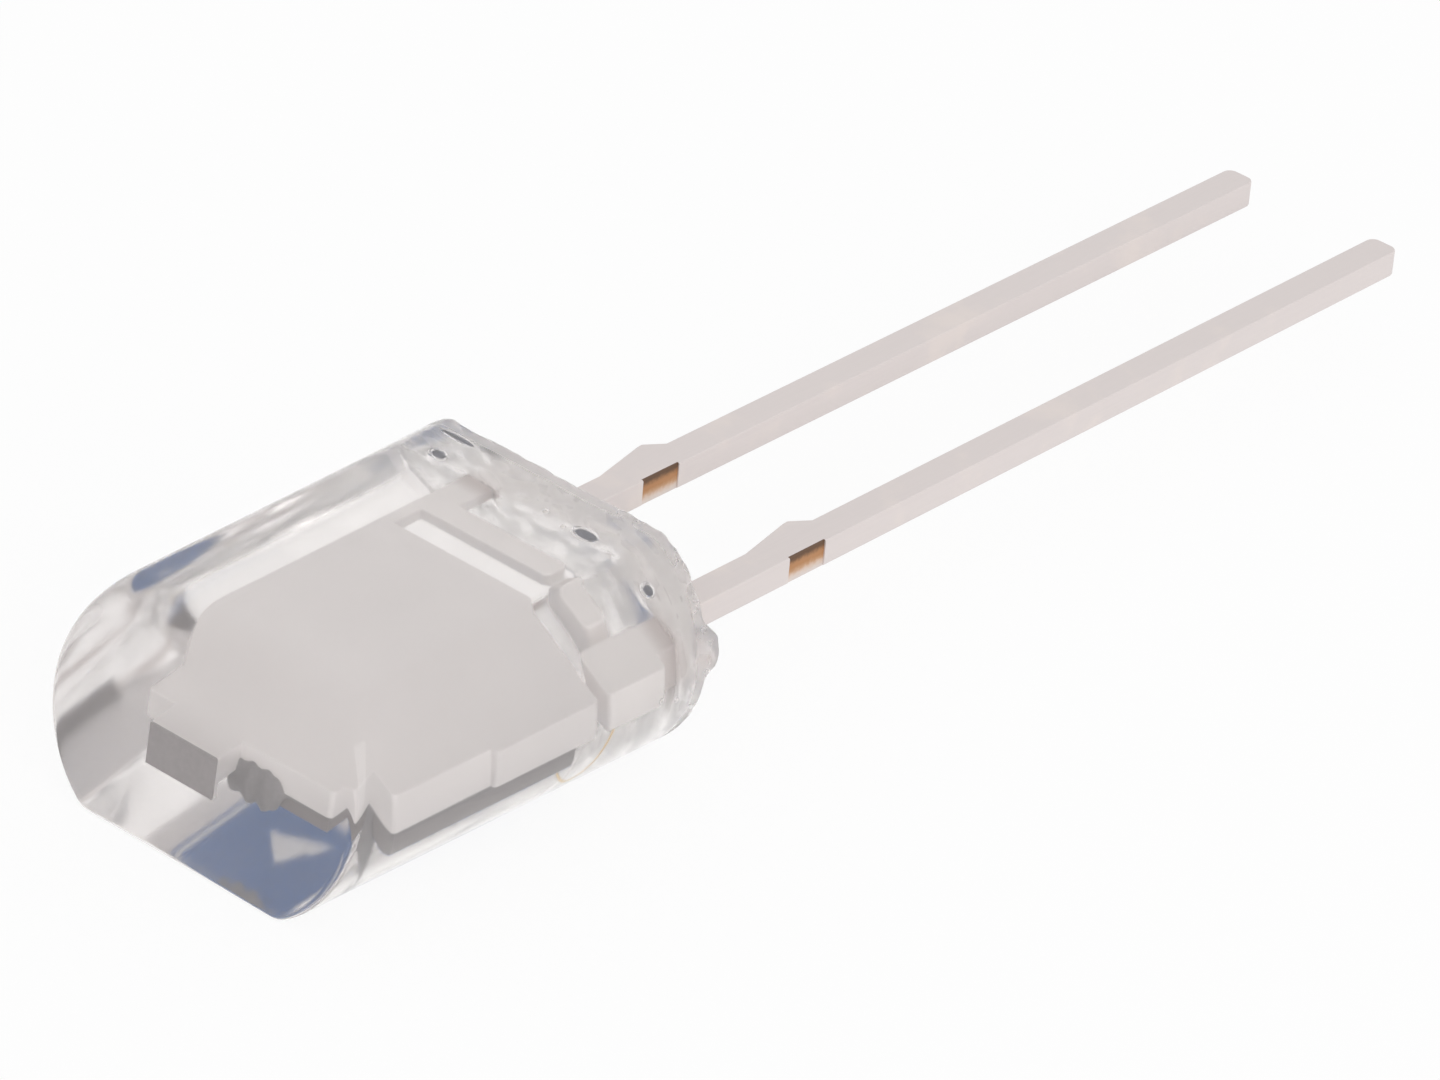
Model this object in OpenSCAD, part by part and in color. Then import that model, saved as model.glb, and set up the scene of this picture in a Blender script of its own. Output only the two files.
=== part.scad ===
// Clear side-looking photodiode: a cast epoxy block on two flat leads.
// It lies on its sensitive face. +Y runs along the leads to their tips, and +X across them.

/* [Epoxy body] */
// Greatest width, at the lead end
body_width = 5.45; // [5:0.05:6.5]
// Height at the lead end, from the sensitive face to the back
body_height = 3.05; // [2.7:0.05:3.6]
// Length of the sensitive face
body_length = 6.5; // [6.2:0.1:8]
// Width of the flat back and of the flat sensitive face at the lead end
flat_width = 3.7; // [3.4:0.05:4.4]
// Draft of each bulged side towards the far end, in degrees
side_draft = 1.3; // [0:0.1:2]
// Draft of the back towards the far end, in degrees
back_draft = 1.2; // [0:0.1:2.5]
// Lean of the far end face, in degrees
end_lean = 12; // [0:1:16]
// Radius of the far end's edge along the back
back_edge_radius = 0.3; // [0.1:0.05:0.5]
// Radius of the far end's edge along the sensitive face
face_edge_radius = 0.12; // [0.05:0.01:0.3]
// Depth of the dished cast surface at the lead end
dish_depth = 0.12; // [0.05:0.01:0.2]
// Width of the rim around the dished surface
rim_width = 0.08; // [0.04:0.01:0.2]

/* [Lead frame] */
// Distance between the two leads' centre lines
lead_pitch = 2.54; // [2.3:0.02:2.8]
// Width of a lead
lead_width = 0.46; // [0.4:0.01:0.55]
// Thickness of the lead frame's sheet
sheet_thickness = 0.38; // [0.3:0.01:0.5]
// Height of the sheet's middle above the sensitive face
sheet_level = 1.16; // [1.05:0.01:1.4]
// Length of the leads outside the body
lead_length = 15.45; // [8:0.05:27]
// Radius of the corners at a lead's tip
tip_radius = 0.13; // [0.05:0.01:0.2]
// Distance from the body to the sheared dam bar
dam_setback = 2.93; // [1.5:0.01:4]
// Width of the sheared dam bar
dam_width = 0.69; // [0.4:0.01:0.9]
// Depth of the sheared mark on the +X side of a lead
shear_depth = 0.02; // [0.01:0.005:0.05]
// Height of the dam bar's stub on the -X side of a lead
stub_height = 0.18; // [0.1:0.01:0.3]
// Length of the stub's slope on the body side
stub_slope = 0.9; // [0.4:0.05:1.2]
// Length of the stub's flat crest
stub_crest = 0.14; // [0.05:0.01:0.4]
// Length of the stub's slope on the tip side
stub_fall = 0.25; // [0.1:0.01:0.5]

/* [Chip pad and bond post] */
// Width of the chip pad at its far edge
pad_width = 3.18; // [2.9:0.02:3.3]
// Length of the chip pad
pad_length = 3.55; // [3.4:0.05:3.7]
// Distance from the lead end to the chip pad
pad_setback = 1.5; // [1.4:0.05:1.6]
// Radius of the corners of pad and post
corner_radius = 0.1; // [0.02:0.01:0.12]
// How much further the pad's shoulder reaches on the +X side
shoulder_width = 0.14; // [0.12:0.01:0.2]
// Length of the shoulder, from the pad's near edge
shoulder_length = 1.85; // [1:0.05:2.5]
// Width of the sheared tie stub on the pad's far edge
tie_width = 1.15; // [0.5:0.05:1.3]
// Distance from the pad's -X edge to the tie stub
tie_offset = 0.47; // [0.2:0.01:0.8]
// Epoxy in front of the tie stub
tie_cover = 0.36; // [0.2:0.02:0.4]
// Length of the lip that shearing drew down at the stub's end
tie_lip = 0.12; // [0.05:0.01:0.15]
// Depth of that lip
tie_draw = 0.2; // [0.05:0.01:0.25]
// Width of the slot between the chip pad and its heel
slot_width = 0.5; // [0.4:0.02:0.55]
// Width of the bridge that joins the heel to the chip pad
bridge_width = 0.2; // [0.14:0.02:0.4]
// Length of the heel, from the slot to its near edge
heel_length = 0.4; // [0.3:0.02:0.5]
// Gap between the bond post and the cathode's sheet
post_gap = 0.17; // [0.1:0.01:0.3]
// Width of the bond post
post_width = 0.8; // [0.7:0.02:1.4]
// Length of the bond post
post_length = 1.05; // [0.8:0.05:1.1]

/* [Chip] */
// Width of the chip
die_width = 2.5; // [2:0.05:2.7]
// Length of the chip
die_length = 3.2; // [2.6:0.05:3.25]
// Thickness of the chip
die_thickness = 0.2; // [0.15:0.01:0.3]
// Distance from the chip to the +X edge of the pad
die_side_margin = 0.06; // [0.05:0.01:0.3]
// Distance from the chip to the far edge of the pad
die_end_margin = 0.05; // [0.05:0.01:0.2]
// Thickness of the die attach
attach_thickness = 0.02; // [0.01:0.005:0.05]
// Reach of the die attach past the chip's edge
attach_spread = 0.03; // [0.01:0.01:0.04]
// Thickness of the chip's contact metal
contact_thickness = 0.01; // [0.005:0.001:0.02]
// Width of the contact frame's bars
contact_bar = 0.06; // [0.04:0.01:0.1]
// Distance from the contact frame to the chip's edge
contact_margin = 0.07; // [0.05:0.01:0.15]
// Side of the square bond pad in the contact frame's corner
bond_pad = 0.26; // [0.2:0.01:0.35]

/* [Bond wire] */
// Diameter of the bond wire
wire_diameter = 0.03; // [0.02:0.005:0.04]
// Diameter of the ball on the chip
ball_diameter = 0.1; // [0.08:0.005:0.14]
// Height of the flattened ball
ball_height = 0.04; // [0.035:0.005:0.06]
// Depth of the wire's loop under the straight line from ball to stitch
loop_depth = 0.3; // [0.2:0.01:0.4]
// Distance from the post's near edge to the stitch
stitch_setback = 0.4; // [0.2:0.02:0.6]
// Diameter of the flat stitch on the post
stitch_diameter = 0.1; // [0.08:0.005:0.14]
// Thickness of the flat stitch
stitch_height = 0.03; // [0.026:0.002:0.04]

/* [Hidden] */
$fn = 64;
margin = 1;
edge_fullness = 1.15;

// Ends of the body along Y
lead_end = body_length / 2;
far_end = -body_length / 2;

// Bulged sides: arcs through the edges of both flats and the widest line
side_bulge = (body_width - flat_width) / 2;
half_height = body_height / 2;
side_radius = (pow(side_bulge, 2) + pow(half_height, 2)) / (2 * side_bulge);
side_centre = body_width / 2 - side_radius;

// Far corner of the back, where the drafted back meets the leaning end
back_fall = tan(back_draft);
end_rise = tan(end_lean);
corner_z = (body_height - body_length * back_fall) / (1 - end_rise * back_fall);
back_corner = [far_end + corner_z * end_rise, corner_z];
face_corner = [far_end, 0];

// Levels of the lead frame and of what hangs under it
sheet_bottom = sheet_level - sheet_thickness / 2;
attach_bottom = sheet_bottom - attach_thickness;
die_bottom = attach_bottom - die_thickness;
contact_bottom = die_bottom - contact_thickness;

// Plan of the lead frame: the pad is flush with its lead's outer edge, and the post with the pad's shoulder
lead_x = lead_pitch / 2;
lead_outer = lead_x + lead_width / 2;
pad_near = lead_end - pad_setback;
pad_far = pad_near - pad_length;
pad_right = pad_width - lead_outer;
shoulder_right = pad_right + shoulder_width;
tie_far = far_end + (sheet_level + sheet_thickness / 2) * end_rise + tie_cover;
tie_left = tie_offset - lead_outer;
post_far = pad_near + post_gap;
post_left = shoulder_right - post_width;
heel_far = pad_near + slot_width;
heel_near = heel_far + heel_length;
heel_right = post_left - post_gap;

// Plan of the chip
die_right = pad_right - die_side_margin;
die_far = pad_far + die_end_margin;
die_near = die_far + die_length;

// Ends of the bond wire in plan
bond_centre = contact_margin + bond_pad / 2;
ball_x = die_right - bond_centre;
ball_y = die_near - bond_centre;
stitch_x = post_left + post_width / 2;
stitch_y = post_far + stitch_setback;

// The wire in its own upright plane: u runs from ball to stitch, and v is the height.
// Its loop is one arc from the middle of the ball to the middle of the stitch.
wire_span = norm([stitch_x - ball_x, stitch_y - ball_y]);
wire_heading = atan2(stitch_y - ball_y, stitch_x - ball_x);
wire_start = [0, contact_bottom - ball_height / 2];
wire_end = [wire_span, sheet_bottom - stitch_height / 2];
chord = wire_end - wire_start;
chord_angle = atan2(chord[1], chord[0]);
loop_radius = (pow(norm(chord) / 2, 2) + pow(loop_depth, 2)) / (2 * loop_depth);
loop_half_angle = asin(norm(chord) / 2 / loop_radius);
loop_centre = (wire_start + wire_end) / 2 + (loop_radius - loop_depth) * along(chord_angle + 90);

function along(angle) = [cos(angle), sin(angle)];

// What a round edge takes off a convex corner p whose sides leave it in the directions a and b.
// Its arc meets both sides at a slight angle, as a moulded edge does.
module corner_waste(p, a, b, radius) {
  half_angle = acos(a * b) / 2;
  bisector = (a + b) / norm(a + b);
  reach = radius / tan(half_angle);
  arc_radius = edge_fullness * radius;
  inset = reach * cos(half_angle) + sqrt(pow(arc_radius, 2) - pow(reach * sin(half_angle), 2));
  outside = p - bisector * radius;
  centre = p + bisector * inset;
  difference() {
    polygon([outside, outside + 2 * a * reach, centre, outside + 2 * b * reach]);
    translate(centre) circle(arc_radius);
  }
}

// Rectangle with round corners, from its lower left corner
module round_plate(size, radius) {
  translate([radius, 0]) square([size[0] - 2 * radius, size[1]]);
  translate([0, radius]) square([size[0], size[1] - 2 * radius]);
  for (x = [radius, size[0] - radius], y = [radius, size[1] - radius]) translate([x, y]) circle(radius);
}

// Body seen from the side: sensitive face, leaning end and drafted back
module side_profile() {
  polygon([face_corner, [lead_end, 0], [lead_end, body_height], back_corner]);
}

// What the far end's two edge radii take off the side profile
module edge_waste() {
  up_end = along(90 - end_lean);
  corner_waste(face_corner, along(0), up_end, face_edge_radius);
  corner_waste(back_corner, along(back_draft), -up_end, back_edge_radius);
}

// Extrudes a side profile across the whole width
module across() {
  rotate([90, 0, 90]) linear_extrude(body_width + 2 * margin, center = true) children();
}

// Everything on the inner side of the bulged +X side, drafted towards the far end
module bulged_side() {
  reach_z = (half_height + side_radius) / 2;
  translate([0, lead_end, half_height])
    rotate([90, 0, -side_draft])
      linear_extrude(2 * (body_length + margin), center = true) {
        translate([side_centre, 0]) circle(side_radius);
        translate([-body_width, -reach_z]) square([body_width + side_centre, 2 * reach_z]);
      }
}

// Hollow that the cast surface keeps between its rims, as two crossing shallow cylinders
module dish() {
  reach_x = body_width / 2 - rim_width;
  reach_z = half_height - rim_width;
  radius_x = (pow(reach_x, 2) + pow(dish_depth, 2)) / (2 * dish_depth);
  radius_z = (pow(reach_z, 2) + pow(dish_depth, 2)) / (2 * dish_depth);
  floor_y = lead_end - dish_depth;
  intersection() {
    translate([0, floor_y + radius_x, half_height]) cylinder(r = radius_x, h = body_height, center = true);
    translate([0, floor_y + radius_z, half_height])
      rotate([0, 90, 0])
        cylinder(r = radius_z, h = body_width, center = true);
  }
}

module body_form() {
  difference() {
    intersection() {
      across() side_profile();
      bulged_side();
      mirror([1, 0, 0]) bulged_side();
    }
    across() edge_waste();
    dish();
  }
}

// Plan of one lead from a start line to its tip, with its dam bar's stub and sheared mark
module lead_plan(start) {
  side = lead_width / 2;
  dam_near = lead_end + dam_setback;
  dam_far = dam_near + dam_width;
  crest_near = dam_far - stub_crest;
  tip = lead_end + lead_length;
  polygon([
    [-side, start],
    [side, start],
    [side, dam_near],
    [side - shear_depth, dam_near],
    [side - shear_depth, dam_far],
    [side, dam_far],
    [side, tip - tip_radius],
    [-side, tip - tip_radius],
    [-side, dam_far + stub_fall],
    [-side - stub_height, dam_far],
    [-side - stub_height, crest_near],
    [-side, crest_near - stub_slope]
  ]);
  translate([-side, tip - lead_width]) round_plate([lead_width, lead_width], tip_radius);
}

module in_sheet() {
  translate([0, 0, sheet_bottom]) linear_extrude(sheet_thickness) children();
}

// What lies inside the epoxy
module embedded() {
  cathode_lead();
  anode_lead();
  die_attach();
  die();
  die_contact();
  bond_wire();
}

module epoxy_body() {
  color([0.93, 0.93, 0.92, 0.4])
    difference() {
      body_form();
      embedded();
    }
}

// Pad with its wider shoulder on the +X side and the stub of its tie bar on the far edge
module pad_plan() {
  overlap = 4 * corner_radius;
  translate([-lead_outer, pad_far]) round_plate([pad_width, pad_length], corner_radius);
  translate([pad_right - overlap, pad_near - shoulder_length])
    round_plate([overlap + shoulder_width, shoulder_length], corner_radius);
  translate([tie_left, tie_far]) square([tie_width, pad_far - tie_far + overlap]);
}

// Heel between pad and lead: the slot in front of it locks the sheet in the epoxy
module heel_plan() {
  overlap = 2 * corner_radius;
  translate([-lead_outer, heel_far]) round_plate([heel_right + lead_outer, heel_length], corner_radius);
  translate([-lead_outer, pad_near - overlap]) square([bridge_width, slot_width + 2 * overlap]);
}

// Lip at the end of the tie stub, drawn down when the tie bar was sheared off
module drawn_lip() {
  translate([tie_left, tie_far, sheet_bottom - tie_draw])
    cube([tie_width, tie_lip, tie_draw + sheet_thickness]);
}

module cathode_lead() {
  color([0.8, 0.78, 0.77]) {
    in_sheet() {
      pad_plan();
      heel_plan();
      translate([-lead_x, 0]) lead_plan(heel_near - 2 * corner_radius);
    }
    drawn_lip();
  }
}

module anode_lead() {
  color([0.8, 0.78, 0.77])
    in_sheet() {
      translate([post_left, post_far]) round_plate([post_width, post_length], corner_radius);
      translate([lead_x, 0]) lead_plan(post_far + post_length - 2 * corner_radius);
    }
}

module die_attach() {
  color([0.7, 0.7, 0.68])
    translate([die_right - die_width - attach_spread, die_far - attach_spread, attach_bottom])
      linear_extrude(attach_thickness)
        round_plate([die_width + 2 * attach_spread, die_length + 2 * attach_spread], attach_spread);
}

module die() {
  color([0.07, 0.1, 0.25])
    translate([die_right - die_width, die_far, die_bottom])
      cube([die_width, die_length, die_thickness]);
}

// Frame along the chip's edges, with the square bond pad in the corner nearest the post
module die_contact() {
  size = [die_width - 2 * contact_margin, die_length - 2 * contact_margin];
  bars = [contact_bar, contact_bar];
  color([0.85, 0.85, 0.84])
    translate([die_right - die_width + contact_margin, die_far + contact_margin, contact_bottom])
      linear_extrude(contact_thickness) {
        difference() {
          square(size);
          translate(bars) square(size - 2 * bars);
        }
        translate(size - [bond_pad, bond_pad]) square(bond_pad);
      }
}

module bond_wire() {
  color([0.85, 0.7, 0.3])
    translate([ball_x, ball_y, 0])
      rotate([0, 0, wire_heading]) {
        translate([0, 0, contact_bottom - ball_height]) cylinder(d = ball_diameter, h = ball_height);
        translate([loop_centre[0], 0, loop_centre[1]])
          rotate([90, 0, 0])
            rotate([0, 0, chord_angle - loop_half_angle - 90])
              rotate_extrude(angle = 2 * loop_half_angle)
                translate([loop_radius, 0]) circle(d = wire_diameter);
        translate([wire_span, 0, sheet_bottom - stitch_height])
          cylinder(d = stitch_diameter, h = stitch_height);
      }
}

epoxy_body();
cathode_lead();
anode_lead();
die();
die_attach();
die_contact();
bond_wire();
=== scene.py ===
"""Looks of a clear side-looking photodiode: a cast epoxy block on two flat plated leads."""

import math

import bmesh
import bpy
from mathutils import Matrix, Vector, noise


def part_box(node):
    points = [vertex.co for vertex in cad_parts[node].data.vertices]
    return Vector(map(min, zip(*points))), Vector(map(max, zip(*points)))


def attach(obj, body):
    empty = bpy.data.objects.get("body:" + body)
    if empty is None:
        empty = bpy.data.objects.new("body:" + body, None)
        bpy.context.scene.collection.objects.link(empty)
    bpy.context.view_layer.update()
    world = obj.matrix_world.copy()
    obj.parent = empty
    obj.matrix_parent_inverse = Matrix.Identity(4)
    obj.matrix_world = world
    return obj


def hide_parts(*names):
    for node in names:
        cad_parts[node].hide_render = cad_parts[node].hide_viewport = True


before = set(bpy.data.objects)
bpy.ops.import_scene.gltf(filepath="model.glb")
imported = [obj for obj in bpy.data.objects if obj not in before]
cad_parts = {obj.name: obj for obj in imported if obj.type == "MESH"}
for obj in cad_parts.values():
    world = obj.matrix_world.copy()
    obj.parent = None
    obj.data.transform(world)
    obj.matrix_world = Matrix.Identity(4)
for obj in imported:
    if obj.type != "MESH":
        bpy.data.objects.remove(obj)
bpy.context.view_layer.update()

MM = 0.001

# Points of a node closer than this are one point
WELD = 0.0005 * MM

# Camera, in degrees and metres
VIEW_AZIMUTH = 39.52
VIEW_ELEVATION = 30.73
VIEW_ROLL = 5.12
VIEW_DISTANCE = 115.8 * MM
VIEW_AIM = Vector((0.244, 6.271, 1.012)) * MM
LENS = 225.575

# Rays follow light through many reflections inside the epoxy
LIGHT_BOUNCES = 32

# Light: the share of white that the world sheds, and the key lamp in metres and watts
WORLD_LIGHT = 0.78
KEY_PLACE = (0.26, -0.12, 0.12)
KEY_SIZE = 0.3
KEY_POWER = 0.4

# Floor, with a gap of air under the body and a share that shows plain white
FLOOR_GAP = 0.02 * MM
FLOOR_HALF = 0.4
FLOOR_WHITE = 0.9

# Epoxy body, in millimetres and degrees
FLAT_WIDTH = 3.7
BODY_LENGTH = 6.5
SIDE_DRAFT = 1.3
BACK_DRAFT = 1.2
END_LEAN = 12
LONG_EDGE = 0.1
BACK_EDGE = 0.7
BACK_EDGE_GROWTH = 4
FACE_EDGE = 0.1
RIM_EDGE = 0.05
ARC_STEPS = 44
EDGE_STEPS = 5
BACK_STEPS = 14
FLAT_STEPS = 40
FLAT_INSET = 0.02
SIDE_STEPS = 24
END_TURNS = 6

# Epoxy as a material: refraction, clearness, and roughness where a mould shaped it
EPOXY_INDEX = 1.55
EPOXY_CLEARNESS = 0.91
MOULDED_ROUGHNESS = 0.1
OPEN_END = (3.0, 3.1)

# Cast surface at the lead end, in millimetres
DISH_DEPTH = 0.12
DISH_STEPS = 36
RIM_WAVE = 0.03
RIPPLE = 0.012
CLIMB_HEIGHT = 0.16
CLIMB_REACH = 0.12
LIP_HEIGHT = 0.2
LIP_LOW = 1.3
LIP_HIGH = 2.15
LIP_START = 0.2
LIP_STOP = 0.35
LIP_INNER = 0.7
LIP_OUTER = 0.9
RIM_BLEND = 0.2

# Air bubbles in the epoxy: place and half sizes, in millimetres. The first few get painted shade: the
# epoxy around them is painted dark
BUBBLES = [
    ((-1.47, 2.66, 2.7), (0.15, 0.11, 0.12)),
    ((-1.5, 3.02, 2.92), (0.3, 0.07, 0.07)),
    ((1.07, 2.64, 2.7), (0.22, 0.13, 0.12)),
    ((2.0, 2.68, 2.45), (0.12, 0.1, 0.1)),
    ((0.35, 2.7, 2.65), (0.05, 0.05, 0.05)),
    ((0.72, 2.62, 2.6), (0.04, 0.04, 0.04)),
    ((2.34, 2.63, 1.18), (0.04, 0.04, 0.04)),
    ((2.33, 2.92, 1.1), (0.05, 0.04, 0.04)),
]
# How many bubbles get painted shade, and how far past each bubble the painted shade reaches
SHADED_BUBBLES = 4
SHADE_REACH = 1.1

# Lead frame, in millimetres
LEAD_X = 1.27
LEAD_HALF = Vector((0.23, 0.19))
LEAD_LEVEL = 1.16
LEAD_EDGE = 0.02
DAM_NEAR = 6.18
DAM_FAR = 6.87
MARK_INSIDE = 0.19
MARK_SLACK = 0.01
TIE_DEPTH = 0.15
SHEAR_DEPTH = 0.03
FLAT_ANGLE = math.radians(1)
STEEP = math.radians(40)

# Stretches along the leads in which the plating is painted brighter, as painted light near the cast end,
# and then turns to its darker open-air colour, in millimetres
PAINTED_LIGHT_FROM = (1.6, 2.2)
OPEN_AIR_FROM = (2.9, 3.2)

# Levels on the sheet between which the cut dam's copper comes up, deepens and darkens, in millimetres
COPPER_FADE = (1.02, 1.16)
COPPER_DEEP = (1.06, 1.22)
COPPER_DARK = (1.24, 1.35)

# Adhesive bead around the chip, in millimetres
BEAD_STEPS = 220
BEAD_SIDES = 12
BEAD_GIRTH = 0.028
BEAD_WAVE = 0.6
BEAD_DEPTH = 0.7
BEAD_LUMPS = [(0.06, 0.23), (0.2, 0.15), (0.34, 0.24), (0.48, 0.14), (0.6, 0.24), (0.76, 0.2)]
LUMP_REACH = 0.1
LUMP_EDGE = 0.01
BEAD_SAG = 0.3

# Chip, in millimetres: its coat, and a painted reflection, a pale patch with corners counter-clockwise
# seen from above
COAT_DEPTH = 0.004
REFLECTION_CORNERS = [(-0.19, 0.33), (0.26, -0.42), (0.67, 0.84)]
REFLECTION_RAGGED = 0.22

# Bond wire, in millimetres
WIRE_WIDTH = 0.03
WIRE_STEPS = 48
LOOP_DEPTH = 0.3
BALL_INSET = 0.2
BALL_DEPTH = 0.045
BALL_GIRTH = 2.3
STITCH_SETBACK = 0.4
STITCH_INSET = 0.05
STITCH_DEPTH = 0.03
STITCH_GIRTH = 2.0

body_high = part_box("epoxy_body")[1] / MM
half_width = body_high.x
height = body_high.z
lead_end = BODY_LENGTH / 2
far_end = -BODY_LENGTH / 2
bulge = half_width - FLAT_WIDTH / 2
side_radius = (bulge ** 2 + (height / 2) ** 2) / (2 * bulge)
side_centre = half_width - side_radius
die_low, die_high = (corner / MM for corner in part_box("die"))
tie_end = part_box("cathode_lead")[0].y / MM
sheet_low = LEAD_LEVEL - LEAD_HALF.y


def tangent(degrees):
    return math.tan(math.radians(degrees))


# Node trees

class Shade:
    """One socket in an expression: each operator adds its Math node."""

    def __init__(self, tree, socket):
        self.tree = tree
        self.socket = socket

    def math(self, operation, *values):
        return self.tree.node("ShaderNodeMath", {"operation": operation}, dict(enumerate(values)))

    def __add__(self, other):
        return self.math("ADD", self, other)

    def __sub__(self, other):
        return self.math("SUBTRACT", self, other)

    def __rsub__(self, other):
        return self.math("SUBTRACT", other, self)

    def __mul__(self, other):
        return self.math("MULTIPLY", self, other)

    def __gt__(self, other):
        return self.math("GREATER_THAN", self, other)

    def __lt__(self, other):
        return self.math("LESS_THAN", self, other)

    __rmul__ = __mul__

    def most(self, other):
        return self.math("MAXIMUM", self, other)


class Tree:
    """A node tree that is filled by expressions."""

    def __init__(self, tree):
        self.tree = tree

    def node(self, kind, settings=None, inputs=None, output=0):
        made = self.tree.nodes.new(kind)
        for name, value in (settings or {}).items():
            setattr(made, name, value)
        for key, value in (inputs or {}).items():
            if isinstance(value, Shade):
                self.tree.links.new(value.socket, made.inputs[key])
            else:
                made.inputs[key].default_value = value
        if output == "all":
            return [Shade(self, socket) for socket in made.outputs]
        return Shade(self, made.outputs[output]) if made.outputs else None


class Finish(Tree):
    """The nodes of a material or of the world."""

    def __init__(self, owner):
        owner.use_nodes = True
        super().__init__(owner.node_tree)
        self.owner = owner
        self.tree.nodes.clear()

    def place(self, scale=(1, 1, 1)):
        """Object coordinates in millimetres, stretched by scale."""
        where = self.node("ShaderNodeTexCoord", output="Object")
        sizes = [s / MM for s in scale]
        return self.node("ShaderNodeMapping", None, {"Vector": where, "Scale": sizes})

    def along_axes(self):
        return self.node("ShaderNodeSeparateXYZ", None, {0: self.place()}, "all")

    def noise(self, where, scale, detail=3.0, roughness=0.5):
        values = {"Vector": where, "Scale": scale, "Detail": detail, "Roughness": roughness}
        return self.node("ShaderNodeTexNoise", None, values)

    def mix(self, factor, first, second):
        return self.node("ShaderNodeMix", {"data_type": "RGBA"}, {0: factor, 6: first, 7: second}, 2)

    def spread(self, value, low, high, to_low=0.0, to_high=1.0):
        values = {"Value": value, 1: low, 2: high, 3: to_low, 4: to_high}
        return self.node("ShaderNodeMapRange", {"interpolation_type": "SMOOTHSTEP"}, values)

    def bump(self, height_map, strength, distance):
        values = {"Height": height_map, "Strength": strength, "Distance": distance * MM}
        return self.node("ShaderNodeBump", None, values)

    def surface(self, **sockets):
        values = {name.replace("_", " "): value for name, value in sockets.items()}
        shader = self.node("ShaderNodeBsdfPrincipled", None, values)
        self.node("ShaderNodeOutputMaterial", None, {"Surface": shader})
        return self.owner


class Growth(Tree):
    """A geometry tree with named sizes, which ends in realized instances and a set material."""

    def __init__(self, name, sizes):
        super().__init__(bpy.data.node_groups.new(name, "GeometryNodeTree"))
        faces = self.tree.interface
        faces.new_socket("Geometry", in_out="INPUT", socket_type="NodeSocketGeometry")
        self.sizes = {}
        for size, value in sizes.items():
            socket = faces.new_socket(size, in_out="INPUT", socket_type="NodeSocketFloat")
            self.sizes[socket.identifier] = value
        faces.new_socket("Geometry", in_out="OUTPUT", socket_type="NodeSocketGeometry")
        self.entry = self.tree.nodes.new("NodeGroupInput")

    def given(self, name):
        return Shade(self, self.entry.outputs[name])

    def noted(self, name, kind):
        return self.node("GeometryNodeInputNamedAttribute", {"data_type": kind}, {"Name": name})

    def close(self, geometry, finish):
        solid = self.node("GeometryNodeRealizeInstances", None, {"Geometry": geometry})
        dressed = self.node("GeometryNodeSetMaterial", None, {"Geometry": solid, "Material": finish})
        self.node("NodeGroupOutput", None, {"Geometry": dressed})

    def grown(self, name, points, edges, notes):
        """Plain mesh that the tree makes from points and edges, with notes on each point."""
        base = bpy.data.meshes.new(name + "_base")
        base.from_pydata([Vector(point) * MM for point in points], edges, [])
        for note, (kind, values) in notes.items():
            attribute = base.attributes.new(note, kind, "POINT")
            for item, value in zip(attribute.data, values):
                if kind == "FLOAT":
                    item.value = value
                else:
                    item.vector = value
        holder = bpy.data.objects.new(name + "_base", base)
        bpy.context.collection.objects.link(holder)
        modifier = holder.modifiers.new(name, "NODES")
        modifier.node_group = self.tree
        for identifier, value in self.sizes.items():
            modifier[identifier] = value
        graph = bpy.context.evaluated_depsgraph_get()
        mesh = bpy.data.meshes.new_from_object(holder.evaluated_get(graph), depsgraph=graph)
        mesh.name = name
        holder.modifiers.remove(modifier)
        bpy.data.objects.remove(holder)
        return mesh


def new_finish(name):
    return Finish(bpy.data.materials.new(name))


def grey(value):
    return (value, value, value, 1)


# Finishes

def clear_epoxy():
    """Cast epoxy with a faint warm tint and a slight haze, matt at its open end, with painted shade around
    some bubbles.
    """
    finish = new_finish("clear_epoxy")
    x, y, z = finish.along_axes()
    cloud = finish.noise(finish.place(), 0.6, 2.0)
    tint = finish.mix(cloud, (0.97, 0.938, 0.922, 1), (0.93, 0.898, 0.882, 1))
    open_end = finish.spread(y, *OPEN_END)
    tint = finish.mix(open_end, tint, (1, 0.96, 0.945, 1))
    matt = open_end * finish.spread(finish.noise(finish.place(), 2.5), 0.35, 0.65, 0.08, 0.42)
    # Painted shade: the epoxy is painted near-black around the first few bubbles
    for place, size in BUBBLES[:SHADED_BUBBLES]:
        ball = zip((x, y, z), place, size)
        off = [(at - middle) * (1 / (half * SHADE_REACH)) for at, middle, half in ball]
        inside = off[0] * off[0] + off[1] * off[1] + off[2] * off[2] < 1
        tint = finish.mix(inside, tint, (0.1, 0.11, 0.15, 1))
    return finish.surface(Base_Color=tint, Roughness=matt + MOULDED_ROUGHNESS, IOR=EPOXY_INDEX,
                          Transmission_Weight=EPOXY_CLEARNESS)


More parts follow.
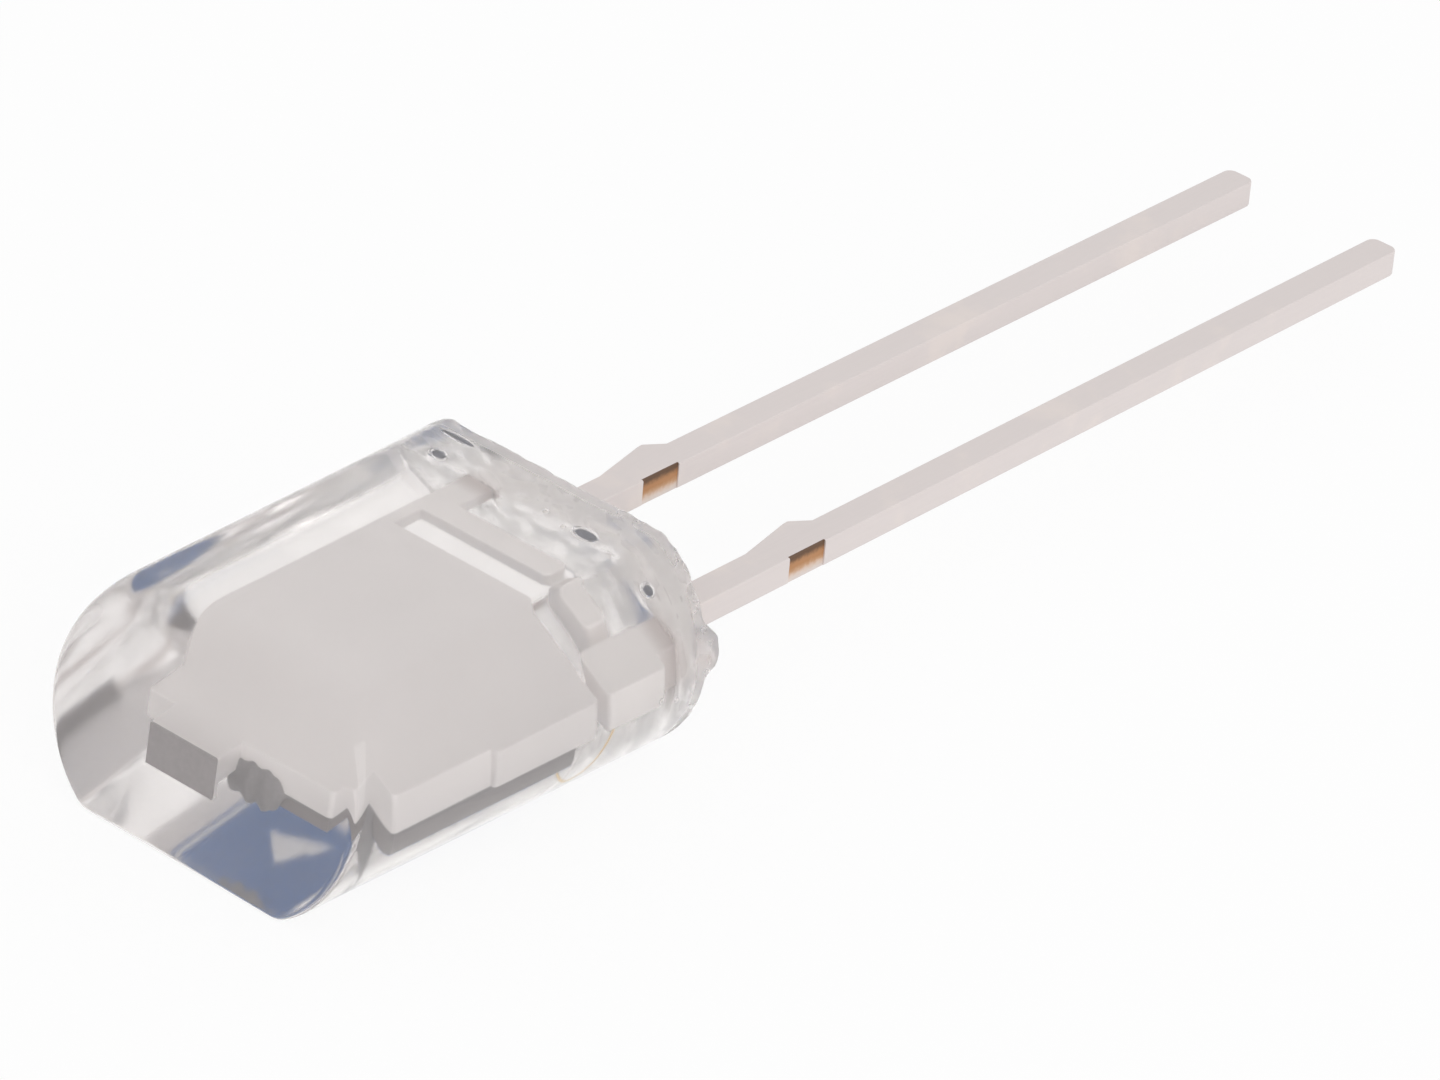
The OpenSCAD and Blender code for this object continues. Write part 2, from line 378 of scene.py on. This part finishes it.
def plated_sheet():
    """Matt plating, brighter inside the epoxy and painted brighter still near the cast end as painted
    light, with sheared dam bars in bare copper and a sheared tie.
    """
    finish = new_finish("plated_sheet")
    x, y, z = finish.along_axes()
    streaks = finish.noise(finish.place((9, 0.5, 9)), 3.0, 5.0, 0.6)
    grain = finish.noise(finish.place(), 16.0, 4.0)
    stains = finish.noise(finish.place(), 1.3, 4.0)
    open_air = finish.mix(streaks, (0.68, 0.62, 0.605, 1), (0.75, 0.69, 0.675, 1))
    open_air = finish.mix(finish.spread(stains, 0.5, 0.75, 0, 0.6), open_air, (0.79, 0.71, 0.67, 1))
    sealed = finish.mix(stains, (0.9, 0.87, 0.87, 1), (0.94, 0.91, 0.905, 1))
    # Painted light: the plating turns brighter towards the cast end
    sealed = finish.mix(finish.spread(y, *PAINTED_LIGHT_FROM), sealed, (0.985, 0.955, 0.945, 1))
    plate = finish.mix(finish.spread(y, *OPEN_AIR_FROM), sealed, open_air)
    level = z + grain * 0.08
    copper = finish.mix(finish.spread(level, *COPPER_DEEP), (0.68, 0.48, 0.34, 1), (0.46, 0.225, 0.095, 1))
    copper = finish.mix(finish.spread(level, *COPPER_DARK), copper, (0.13, 0.065, 0.032, 1))
    in_dam = (y > DAM_NEAR) * (y < DAM_FAR)
    on_side = (x > LEAD_X + MARK_INSIDE) + (x > MARK_INSIDE - LEAD_X) * (x < 0)
    skin = finish.mix(in_dam * on_side * finish.spread(level, *COPPER_FADE, 0.15, 1), plate, copper)
    shear = finish.mix(grain, (0.33, 0.305, 0.315, 1), (0.45, 0.42, 0.43, 1))
    sheared = y < tie_end + SHEAR_DEPTH
    skin = finish.mix(sheared, skin, shear)
    rough = finish.spread(streaks, 0.2, 0.8, 0.42, 0.58)
    metal = 0.3 - sheared * 0.25
    normal = finish.bump(streaks * 0.6 + grain * 0.4, 0.15, 0.01)
    return finish.surface(Base_Color=skin, Metallic=metal, Roughness=rough, Normal=normal)


def silicon():
    """Sawn grey edges and a blue coated face, with a pale patch painted on the face as a painted
    reflection.
    """
    finish = new_finish("silicon")
    x, y, z = finish.along_axes()
    cloud = finish.noise(finish.place(), 1.5, 3.0)
    saw = finish.noise(finish.place((2, 2, 40)), 2.0, 4.0)
    face = finish.mix(cloud, (0.004, 0.105, 0.37, 1), (0.012, 0.15, 0.47, 1))
    # Painted reflection: a ragged pale triangle painted on the chip's blue face
    ragged_x = x + (finish.noise(finish.place(), 5.0) - 0.5) * REFLECTION_RAGGED
    ragged_y = y + (finish.noise(finish.place(), 8.0) - 0.5) * REFLECTION_RAGGED
    painted_reflection = 1
    for (ax, ay), (bx, by) in zip(REFLECTION_CORNERS, REFLECTION_CORNERS[1:] + REFLECTION_CORNERS[:1]):
        painted_reflection = painted_reflection * ((ragged_x - ax) * (by - ay) - (ragged_y - ay) * (bx - ax) < 0)
    face = finish.mix(painted_reflection, face, (0.97, 0.96, 0.97, 1))
    edge = finish.mix(saw, (0.22, 0.2, 0.205, 1), (0.32, 0.295, 0.3, 1))
    on_edge = z > die_low.z + COAT_DEPTH
    colour = finish.mix(on_edge, face, edge)
    rough = finish.spread(cloud, 0.3, 0.7, 0.12, 0.22) + on_edge * 0.35
    return finish.surface(Base_Color=colour, Roughness=rough, IOR=1.3)


def silver_adhesive():
    finish = new_finish("silver_adhesive")
    grain = finish.noise(finish.place(), 24.0, 4.0)
    paste = finish.mix(grain, (0.22, 0.21, 0.22, 1), (0.32, 0.305, 0.315, 1))
    normal = finish.bump(grain, 0.4, 0.01)
    return finish.surface(Base_Color=paste, Metallic=0.2, Roughness=0.55, Normal=normal)


def contact_film():
    finish = new_finish("contact_film")
    grain = finish.noise(finish.place(), 30.0, 3.0)
    film = finish.mix(grain, (0.7, 0.7, 0.69, 1), (0.85, 0.85, 0.84, 1))
    normal = finish.bump(grain, 0.1, 0.004)
    return finish.surface(Base_Color=film, Metallic=1.0, Roughness=0.3, Normal=normal)


def gold_wire():
    finish = new_finish("gold_wire")
    grain = finish.noise(finish.place(), 40.0, 2.0)
    gold = finish.mix(grain, (0.8, 0.55, 0.2, 1), (0.9, 0.68, 0.3, 1))
    return finish.surface(Base_Color=gold, Metallic=1.0, Roughness=0.25)


# Stage

def make_camera():
    azimuth, elevation, roll = (math.radians(a) for a in (VIEW_AZIMUTH, VIEW_ELEVATION, VIEW_ROLL))
    level = math.cos(elevation)
    back = Vector((math.sin(azimuth) * level, -math.cos(azimuth) * level, math.sin(elevation)))
    right = Vector((math.cos(azimuth), math.sin(azimuth), 0))
    up = back.cross(right)
    axes = (
        right * math.cos(roll) + up * math.sin(roll),
        up * math.cos(roll) - right * math.sin(roll),
        back,
    )
    camera = bpy.data.objects.new("camera", bpy.data.cameras.new("camera"))
    camera.data.lens = LENS
    camera.data.clip_start = 1 * MM
    camera.data.clip_end = 10
    place = Matrix.Translation(VIEW_AIM + back * VIEW_DISTANCE)
    camera.matrix_world = place @ Matrix(axes).transposed().to_4x4()
    bpy.context.collection.objects.link(camera)
    bpy.context.scene.camera = camera


def seen_directly(finish):
    """1 for a ray from the camera, a mirror or clear epoxy, 0 for a ray that only lights."""
    kinds = [finish.node("ShaderNodeLightPath", output=f"Is {kind} Ray")
             for kind in ("Camera", "Glossy", "Transmission")]
    return kinds[0].most(kinds[1]).most(kinds[2])


def make_world():
    world = bpy.data.worlds.new("studio")
    bpy.context.scene.world = world
    finish = Finish(world)
    lit = finish.node("ShaderNodeBackground", None, {"Color": grey(1), "Strength": WORLD_LIGHT})
    shown = finish.node("ShaderNodeBackground", None, {"Color": grey(1), "Strength": 1.0})
    both = finish.node("ShaderNodeMixShader", None, {0: seen_directly(finish), 1: lit, 2: shown})
    finish.node("ShaderNodeOutputWorld", None, {"Surface": both})


def make_floor():
    finish = new_finish("floor")
    paper = finish.mix(finish.noise(finish.place(), 0.3), grey(0.93), grey(0.96))
    shade = finish.node("ShaderNodeBsdfDiffuse", None, {"Color": paper})
    shown = finish.node("ShaderNodeEmission", None, {"Color": grey(1), "Strength": 1.0})
    factor = seen_directly(finish) * FLOOR_WHITE
    both = finish.node("ShaderNodeMixShader", None, {0: factor, 1: shade, 2: shown})
    finish.node("ShaderNodeOutputMaterial", None, {"Surface": both})
    mesh = bpy.data.meshes.new("floor")
    signs = ((-1, -1), (1, -1), (1, 1), (-1, 1))
    corners = [(x * FLOOR_HALF, y * FLOOR_HALF, -FLOOR_GAP) for x, y in signs]
    mesh.from_pydata(corners, [], [(0, 1, 2, 3)])
    link("floor", mesh, finish.owner)


def make_lamp(name, place, size, power):
    lamp = bpy.data.lights.new(name, "AREA")
    lamp.size = size
    lamp.energy = power
    made = bpy.data.objects.new(name, lamp)
    made.location = place
    made.rotation_euler = (VIEW_AIM - Vector(place)).to_track_quat("-Z", "Y").to_euler()
    bpy.context.collection.objects.link(made)


# Meshes and pieces

def link(name, mesh, finish):
    mesh.materials.clear()
    mesh.materials.append(finish)
    made = bpy.data.objects.new(name, mesh)
    bpy.context.collection.objects.link(made)
    return made


def stand_for(piece, node):
    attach(piece, "root")
    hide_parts(node)


def weigh_normals(piece):
    weighted = piece.modifiers.new("flat faces stay flat", "WEIGHTED_NORMAL")
    weighted.keep_sharp = True


def dress_node(name, finish):
    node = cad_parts[name]
    node.data.materials.clear()
    node.data.materials.append(finish)


def joined_rows(shape, rows, closed=False):
    """Faces between rows of points that each run in a ring."""
    count = len(rows[0])
    pairs = list(zip(rows, rows[1:]))
    if closed:
        pairs.append((rows[-1], rows[0]))
    for first, second in pairs:
        for i in range(count):
            shape.faces.new((first[i], first[(i + 1) % count], second[(i + 1) % count], second[i]))


# Clear body

def rounded(before, corner, after, steps):
    """Points of the curve that rounds a corner, from before to after."""
    shares = [k / steps for k in range(steps + 1)]
    return [before * (1 - t) ** 2 + corner * 2 * t * (1 - t) + after * t ** 2 for t in shares]


def section(y):
    """Outline of the body at y, counter-clockwise seen from the far end: +X side, back, -X side, face."""
    fall = lead_end - y
    centre = side_centre - fall * tangent(SIDE_DRAFT)
    top = height - fall * tangent(BACK_DRAFT)
    low = -math.asin(height / 2 / side_radius)
    high = math.asin((top - height / 2) / side_radius)

    def on_arc(angle):
        return Vector((centre + side_radius * math.cos(angle), height / 2 + side_radius * math.sin(angle)))

    turn = LONG_EDGE / side_radius
    bottom_corner, top_corner = on_arc(low), on_arc(high)
    arc = [on_arc(low + turn + (high - low - 2 * turn) * k / ARC_STEPS) for k in range(ARC_STEPS + 1)]
    inwards = Vector((LONG_EDGE, 0))
    side = rounded(bottom_corner - inwards, bottom_corner, arc[0], EDGE_STEPS)
    side += arc[1:-1]
    side += rounded(arc[-1], top_corner, top_corner - inwards, EDGE_STEPS)

    def flat(start, end):
        near = start.lerp(end, FLAT_INSET)
        far = start.lerp(end, 1 - FLAT_INSET)
        return [near.lerp(far, k / FLAT_STEPS) for k in range(FLAT_STEPS + 1)]

    left = [Vector((-p.x, p.y)) for p in reversed(side)]
    return side + flat(side[-1], left[0]) + left + flat(left[-1], side[0])


def end_point(index):
    """Where the fibre of the outline's point with that index meets the leaning end."""
    y = far_end
    for _ in range(END_TURNS):
        point = section(y)[index]
        y = far_end + point.y * tangent(END_LEAN)
    return Vector((point.x, y, point.y))


def smooth_step(value, low, high):
    share = min(1, max(0, (value - low) / (high - low)))
    return share * share * (3 - 2 * share)


def rim_rise(point):
    """How far the cast rim stands out at a point of the outline: ragged, with a lip on the +X side."""
    coarse = noise.noise(Vector((point.x, point.y, 0.5)) * 5)
    fine = noise.noise(Vector((point.x, point.y, 2.5)) * 11)
    ragged = coarse + 0.6 * fine
    lip_end = smooth_step(point.y, LIP_HIGH - LIP_STOP, LIP_HIGH)
    lip = smooth_step(point.y, LIP_LOW, LIP_LOW + LIP_START) * (1 - lip_end)
    on_side = smooth_step(point.x, half_width * LIP_INNER, half_width * LIP_OUTER)
    return RIM_WAVE * ragged + LIP_HEIGHT * lip * on_side


def cast_level(x, z):
    """How far the cast surface climbs at the leads and ripples between them."""
    climb = 0
    for lead_x in (-LEAD_X, LEAD_X):
        off_x = max(0, abs(x - lead_x) - LEAD_HALF.x)
        off_z = max(0, abs(z - LEAD_LEVEL) - LEAD_HALF.y)
        climb += CLIMB_HEIGHT * math.exp(-math.hypot(off_x, off_z) / CLIMB_REACH)
    ripple = noise.noise(Vector((x, z, 7.3)) * 1.6) + 0.5 * noise.noise(Vector((x, z, 3.1)) * 3.7)
    return climb + RIPPLE * ripple


def body_rings():
    """Rings of points from the far end's face along the sides to the middle of the dished end."""
    outline = section(lead_end)
    count = len(outline)
    corners = [end_point(i) for i in range(count)]
    middle = sum(corners, Vector()) / count
    near = [Vector((p.x, lead_end + rim_rise(p), p.y)) for p in outline]
    rings = [[] for _ in range(BACK_STEPS + SIDE_STEPS + EDGE_STEPS + 1)]
    for corner, rim in zip(corners, near):
        share = min(1, max(0, corner.z / height))
        edge = FACE_EDGE + (BACK_EDGE - FACE_EDGE) * share ** BACK_EDGE_GROWTH
        along = (rim - corner).normalized()
        inwards = (middle - corner).normalized()
        fibre = rounded(corner + inwards * edge, corner, corner + along * edge, BACK_STEPS)
        start, end = fibre[-1], rim - along * RIM_EDGE
        fibre += [start.lerp(end, k / SIDE_STEPS) for k in range(1, SIDE_STEPS)]
        to_axis = (Vector((0, lead_end - DISH_DEPTH * 0.5, height / 2)) - rim).normalized()
        fibre += rounded(end, rim, rim + to_axis * RIM_EDGE, EDGE_STEPS)
        for ring, point in zip(rings, fibre):
            ring.append(point)
    centre = Vector((0, lead_end, height / 2))
    edge_ring = rings[-1]
    for step in range(1, DISH_STEPS):
        share = 1 - step / DISH_STEPS
        settled = smooth_step(1 - share, 0, RIM_BLEND)
        ring = []
        for point in edge_ring:
            flat = centre + (point - centre) * share
            level = lead_end + (point.y - lead_end) * (1 - settled) - DISH_DEPTH * (1 - share ** 2)
            ring.append(Vector((flat.x, level + cast_level(flat.x, flat.z) * settled, flat.z)))
        rings.append(ring)
    return rings


def bubble_mesh(finish):
    """Air bubbles, as hollows whose faces point into the air."""
    growth = Growth("air_bubbles", {"Size": MM})
    sizes = {"Radius": growth.given("Size"), "Subdivisions": 4}
    ball = growth.node("GeometryNodeMeshIcoSphere", None, sizes)
    half_size = growth.noted("half_size", "FLOAT_VECTOR")
    places = {"Points": growth.given("Geometry"), "Instance": ball, "Scale": half_size}
    balls = growth.node("GeometryNodeInstanceOnPoints", None, places)
    solid = growth.node("GeometryNodeRealizeInstances", None, {"Geometry": balls})
    growth.close(growth.node("GeometryNodeFlipFaces", None, {"Mesh": solid}), finish)
    points, half_sizes = zip(*BUBBLES)
    return growth.grown("air_bubbles", points, [], {"half_size": ("FLOAT_VECTOR", half_sizes)})


def make_clear_body():
    finish = clear_epoxy()
    shape = bmesh.new()
    rows = [[shape.verts.new(point * MM) for point in ring] for ring in body_rings()]
    shape.faces.new(rows[0])
    shape.faces.new(rows[-1])
    joined_rows(shape, rows)
    bmesh.ops.recalc_face_normals(shape, faces=shape.faces)
    bubbles = bubble_mesh(finish)
    shape.from_mesh(bubbles)
    for face in shape.faces:
        face.smooth = True
    mesh = bpy.data.meshes.new("clear_body")
    shape.to_mesh(mesh)
    shape.free()
    bpy.data.meshes.remove(bubbles)
    body = link("clear_body", mesh, finish)
    weigh_normals(body)
    stand_for(body, "epoxy_body")


# Lead frame and chip

def make_lead(node, name, finish):
    """The node's own form with its edges eased, as plated stampings have them."""
    shape = bmesh.new()
    shape.from_mesh(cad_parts[node].data)
    bmesh.ops.remove_doubles(shape, verts=shape.verts, dist=WELD)
    bmesh.ops.dissolve_limit(shape, angle_limit=FLAT_ANGLE, verts=shape.verts, edges=shape.edges)

    def in_mark(point):
        return DAM_NEAR - MARK_SLACK < point.y / MM < DAM_FAR + MARK_SLACK

    def in_tie(point):
        return point.y / MM < tie_end + TIE_DEPTH

    steep = [edge for edge in shape.edges if edge.is_manifold and edge.calc_face_angle() > STEEP]
    sheared = [edge for edge in steep if all(in_mark(vert.co) for vert in edge.verts)
               or all(in_tie(vert.co) for vert in edge.verts)]
    for edge in sheared:
        edge.smooth = False
    eased = [edge for edge in steep if edge.smooth]
    bmesh.ops.bevel(shape, geom=eased, offset=LEAD_EDGE * MM, offset_type="OFFSET", segments=2,
                    profile=0.5, affect="EDGES", clamp_overlap=False)
    for face in shape.faces:
        face.smooth = True
    mesh = bpy.data.meshes.new(name)
    shape.to_mesh(mesh)
    shape.free()
    piece = link(name, mesh, finish)
    weigh_normals(piece)
    stand_for(piece, node)


def bead_path():
    """Points around the chip's edge, with the bead's girth at each."""
    corners = [
        (die_low.x, die_low.y),
        (die_high.x, die_low.y),
        (die_high.x, die_high.y),
        (die_low.x, die_high.y),
    ]
    sides = list(zip(corners, corners[1:] + corners[:1]))
    around = sum(math.dist(a, b) for a, b in sides)
    path = []
    for start, end in sides:
        steps = round(BEAD_STEPS * math.dist(start, end) / around)
        for k in range(steps):
            point = Vector(start).lerp(Vector(end), k / steps)
            girth = BEAD_GIRTH * (1 + BEAD_WAVE * noise.noise(Vector((point.x, point.y, 4.7)) * 6))
            if point.y < die_low.y + LUMP_EDGE:
                girth += sum(size * math.exp(-((point.x - x) / LUMP_REACH) ** 2) for x, size in BEAD_LUMPS)
            path.append((point, girth))
    return path


def make_adhesive():
    """The layer under the chip, and the bead that it pushed out around the chip's edge."""
    shape = bmesh.new()
    shape.from_mesh(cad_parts["die_attach"].data)
    bmesh.ops.remove_doubles(shape, verts=shape.verts, dist=WELD)
    middle = Vector(((die_low.x + die_high.x) / 2, (die_low.y + die_high.y) / 2))
    rows = []
    for point, girth in bead_path():
        outwards = (point - middle).normalized()
        row = []
        for k in range(BEAD_SIDES):
            angle = 2 * math.pi * k / BEAD_SIDES
            flat = point + outwards * girth * BEAD_DEPTH * math.cos(angle)
            level = sheet_low + girth * (math.sin(angle) - BEAD_SAG)
            row.append(shape.verts.new(Vector((flat.x, flat.y, level)) * MM))
        rows.append(row)
    joined_rows(shape, rows, closed=True)
    bmesh.ops.recalc_face_normals(shape, faces=shape.faces)
    mesh = bpy.data.meshes.new("adhesive")
    shape.to_mesh(mesh)
    shape.free()
    piece = link("adhesive", mesh, silver_adhesive())
    piece.data.shade_smooth()
    stand_for(piece, "die_attach")


def make_wire():
    """One tube along the wire's loop: a ball at the chip, a flat stitch at the post."""
    finish = gold_wire()
    growth = Growth("gold_bond", {"Width": WIRE_WIDTH * MM})
    path = growth.node("GeometryNodeMeshToCurve", None, {"Mesh": growth.given("Geometry")})
    girth = growth.noted("girth", "FLOAT")
    path = growth.node("GeometryNodeSetCurveRadius", None, {"Curve": path, "Radius": girth})
    round_wire = {"Resolution": 16, "Radius": growth.given("Width") * 0.5}
    ring = growth.node("GeometryNodeCurvePrimitiveCircle", None, round_wire)
    tube = {"Curve": path, "Profile Curve": ring, "Fill Caps": True}
    growth.close(growth.node("GeometryNodeCurveToMesh", None, tube), finish)
    wire_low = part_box("bond_wire")[0] / MM
    post_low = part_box("anode_lead")[0] / MM
    start = Vector((die_high.x - BALL_INSET, die_high.y - BALL_INSET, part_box("die_contact")[0].z / MM))
    end = Vector((wire_low.x + STITCH_INSET, post_low.y + STITCH_SETBACK, sheet_low))
    points = []
    girths = []
    for k in range(WIRE_STEPS + 1):
        share = k / WIRE_STEPS
        point = start.lerp(end, share)
        point.z -= LOOP_DEPTH * 4 * share * (1 - share)
        points.append(point)
        ball = BALL_GIRTH if share < 0.5 and start.z - point.z < BALL_DEPTH else 0
        stitch = STITCH_GIRTH if share > 0.5 and end.z - point.z < STITCH_DEPTH else 0
        girths.append(1 + ball + stitch)
    edges = [(k, k + 1) for k in range(WIRE_STEPS)]
    mesh = growth.grown("gold_bond", points, edges, {"girth": ("FLOAT", girths)})
    piece = link("gold_bond", mesh, finish)
    piece.data.shade_smooth()
    stand_for(piece, "bond_wire")


scene = bpy.context.scene
scene.view_settings.view_transform = "Standard"
scene.cycles.max_bounces = LIGHT_BOUNCES
scene.cycles.glossy_bounces = LIGHT_BOUNCES
scene.cycles.transmission_bounces = LIGHT_BOUNCES
make_camera()
make_world()
make_floor()
make_lamp("key", KEY_PLACE, KEY_SIZE, KEY_POWER)
make_clear_body()
sheet_finish = plated_sheet()
make_lead("cathode_lead", "plated_cathode", sheet_finish)
make_lead("anode_lead", "plated_anode", sheet_finish)
dress_node("die", silicon())
make_adhesive()
dress_node("die_contact", contact_film())
make_wire()
